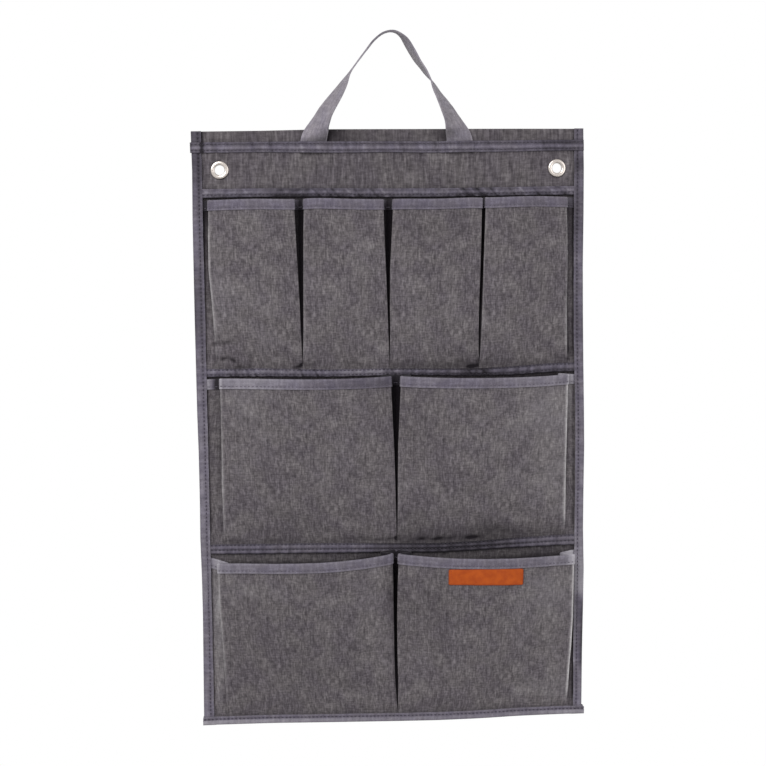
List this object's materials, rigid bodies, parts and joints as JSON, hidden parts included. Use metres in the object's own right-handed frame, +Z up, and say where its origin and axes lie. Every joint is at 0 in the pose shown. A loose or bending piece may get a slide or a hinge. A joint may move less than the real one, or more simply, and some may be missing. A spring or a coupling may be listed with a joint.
{
  "type": "hanging organizer",
  "caption": "Bound cloth wall organizer with rows of pleated pockets, a stiffened header with hanging eyelets and a folding webbing handle.",
  "frame": {"origin": "midway between the two eyelets, on the wall plane that the side bindings' rear faces lie on", "axes": "+Z up along the panel, -Y out of the pockets towards the user, +X to the right seen from the front"},
  "size_m": [0.402, 0.0323, 0.7145],
  "materials": {
    "heather_cloth": "woven heather grey polyester, matte",
    "binding_tape": "woven purplish grey binding tape, slight sheen",
    "handle_webbing": "flat woven grey webbing",
    "eyelet_nickel": "polished nickel plate",
    "stiffener_board": "black sheet, hidden inside the header",
    "tag_orange": "smooth orange leather-look strip"
  },
  "bodies": {
    "organizer_panel": {"back_panel": "heather_cloth", "header_panel": "heather_cloth", "header_stiffener": "stiffener_board", "header_top_tape": "binding_tape", "header_lower_tape": "binding_tape", "binding_left": "binding_tape", "binding_right": "binding_tape", "binding_bottom": "binding_tape", "eyelet_left": "eyelet_nickel", "eyelet_right": "eyelet_nickel", "eyelet_washer_left": "eyelet_nickel", "eyelet_washer_right": "eyelet_nickel", "handle_end_left": "handle_webbing", "handle_end_right": "handle_webbing", "upper_row_foot": "heather_cloth", "middle_row_foot": "heather_cloth", "lower_row_foot": "heather_cloth", "upper_seam_tape": "binding_tape", "middle_seam_tape": "binding_tape", "upper_pocket_1_gusset_left": "heather_cloth", "upper_pocket_1_gusset_right": "heather_cloth", "upper_pocket_2_gusset_left": "heather_cloth", "upper_pocket_2_gusset_right": "heather_cloth", "upper_pocket_3_gusset_left": "heather_cloth", "upper_pocket_3_gusset_right": "heather_cloth", "upper_pocket_4_gusset_left": "heather_cloth", "upper_pocket_4_gusset_right": "heather_cloth", "middle_pocket_1_gusset_left": "heather_cloth", "middle_pocket_1_gusset_right": "heather_cloth", "middle_pocket_2_gusset_left": "heather_cloth", "middle_pocket_2_gusset_right": "heather_cloth", "lower_pocket_1_gusset_left": "heather_cloth", "lower_pocket_1_gusset_right": "heather_cloth", "lower_pocket_2_gusset_left": "heather_cloth", "lower_pocket_2_gusset_right": "heather_cloth"},
    "handle": {"handle_strap": "handle_webbing"},
    "upper_pocket_1": {"upper_pocket_1_front": "heather_cloth", "upper_pocket_1_mouth_tape": "binding_tape"},
    "upper_pocket_2": {"upper_pocket_2_front": "heather_cloth", "upper_pocket_2_mouth_tape": "binding_tape"},
    "upper_pocket_3": {"upper_pocket_3_front": "heather_cloth", "upper_pocket_3_mouth_tape": "binding_tape"},
    "upper_pocket_4": {"upper_pocket_4_front": "heather_cloth", "upper_pocket_4_mouth_tape": "binding_tape"},
    "middle_pocket_1": {"middle_pocket_1_front": "heather_cloth", "middle_pocket_1_mouth_tape": "binding_tape"},
    "middle_pocket_2": {"middle_pocket_2_front": "heather_cloth", "middle_pocket_2_mouth_tape": "binding_tape"},
    "lower_pocket_1": {"lower_pocket_1_front": "heather_cloth", "lower_pocket_1_mouth_tape": "binding_tape"},
    "lower_pocket_2": {"lower_pocket_2_front": "heather_cloth", "lower_pocket_2_mouth_tape": "binding_tape", "lower_pocket_2_tag": "tag_orange"}
  },
  "joints": [
    {"name": "handle_fold", "type": "hinge", "parent": "organizer_panel", "child": "handle", "pos_m": [0, -0.00535, 0.0326], "axis": [1, 0, 0], "range_deg": [0, 125]},
    {"name": "upper_pocket_1_gape", "type": "hinge", "parent": "organizer_panel", "child": "upper_pocket_1", "pos_m": [-0.1376, -0.003, -0.2031], "axis": [1, 0, 0], "range_deg": [-4.7, 4.7], "deforming": ["upper_pocket_1_gusset_left", "upper_pocket_1_gusset_right"]},
    {"name": "upper_pocket_2_gape", "type": "hinge", "parent": "organizer_panel", "child": "upper_pocket_2", "pos_m": [-0.047, -0.003, -0.2031], "axis": [1, 0, 0], "range_deg": [-4.7, 4.7], "deforming": ["upper_pocket_2_gusset_left", "upper_pocket_2_gusset_right"]},
    {"name": "upper_pocket_3_gape", "type": "hinge", "parent": "organizer_panel", "child": "upper_pocket_3", "pos_m": [0.0445, -0.003, -0.2031], "axis": [1, 0, 0], "range_deg": [-4.7, 4.7], "deforming": ["upper_pocket_3_gusset_left", "upper_pocket_3_gusset_right"]},
    {"name": "upper_pocket_4_gape", "type": "hinge", "parent": "organizer_panel", "child": "upper_pocket_4", "pos_m": [0.1371, -0.003, -0.2031], "axis": [1, 0, 0], "range_deg": [-4.7, 4.7], "deforming": ["upper_pocket_4_gusset_left", "upper_pocket_4_gusset_right"]},
    {"name": "middle_pocket_1_gape", "type": "hinge", "parent": "organizer_panel", "child": "middle_pocket_1", "pos_m": [-0.09, -0.003, -0.3864], "axis": [1, 0, 0], "range_deg": [-4.7, 4.7], "deforming": ["middle_pocket_1_gusset_left", "middle_pocket_1_gusset_right"]},
    {"name": "middle_pocket_2_gape", "type": "hinge", "parent": "organizer_panel", "child": "middle_pocket_2", "pos_m": [0.093, -0.003, -0.3864], "axis": [1, 0, 0], "range_deg": [-4.7, 4.7], "deforming": ["middle_pocket_2_gusset_left", "middle_pocket_2_gusset_right"]},
    {"name": "lower_pocket_1_gape", "type": "hinge", "parent": "organizer_panel", "child": "lower_pocket_1", "pos_m": [-0.09, -0.003, -0.5662], "axis": [1, 0, 0], "range_deg": [-6.1, 4.8], "deforming": ["lower_pocket_1_gusset_left", "lower_pocket_1_gusset_right"]},
    {"name": "lower_pocket_2_gape", "type": "hinge", "parent": "organizer_panel", "child": "lower_pocket_2", "pos_m": [0.093, -0.003, -0.5662], "axis": [1, 0, 0], "range_deg": [-6.1, 4.8], "deforming": ["lower_pocket_2_gusset_left", "lower_pocket_2_gusset_right"]}
  ]
}
